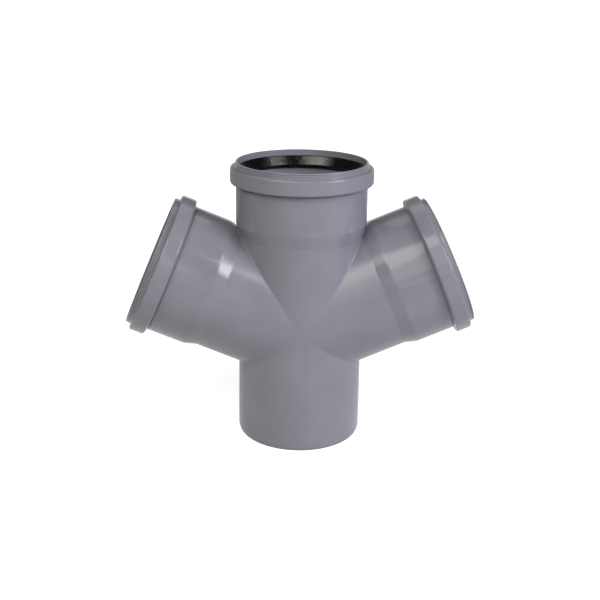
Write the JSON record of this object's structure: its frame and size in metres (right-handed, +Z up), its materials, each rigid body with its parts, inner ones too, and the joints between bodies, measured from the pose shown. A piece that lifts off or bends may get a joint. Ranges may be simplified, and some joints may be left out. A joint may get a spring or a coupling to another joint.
{
  "type": "double wye",
  "caption": "Double wye for push-fit drain pipe: a straight run with a plain chamfered spigot and equal side branches at 67.5 degrees, with beaded ring-seal sockets and rubber lip seals.",
  "frame": {"origin": "centre of the spigot's end face, on the axis of the run, at the height it stands on", "axes": "+Z up the run from the spigot towards the top socket, +X in the plane of the branches towards the right branch, +Y square to that plane, away from the front"},
  "size_m": [0.3114, 0.1268, 0.2479],
  "materials": {
    "grey_polypropylene": "injection moulded, satin, cool grey",
    "seal_rubber": "moulded, smooth, with a lubricant's sheen"
  },
  "bodies": {
    "root": {"fitting_body": "grey_polypropylene", "top_seal_ring": "seal_rubber", "right_seal_ring": "seal_rubber", "left_seal_ring": "seal_rubber"}
  },
  "joints": []
}
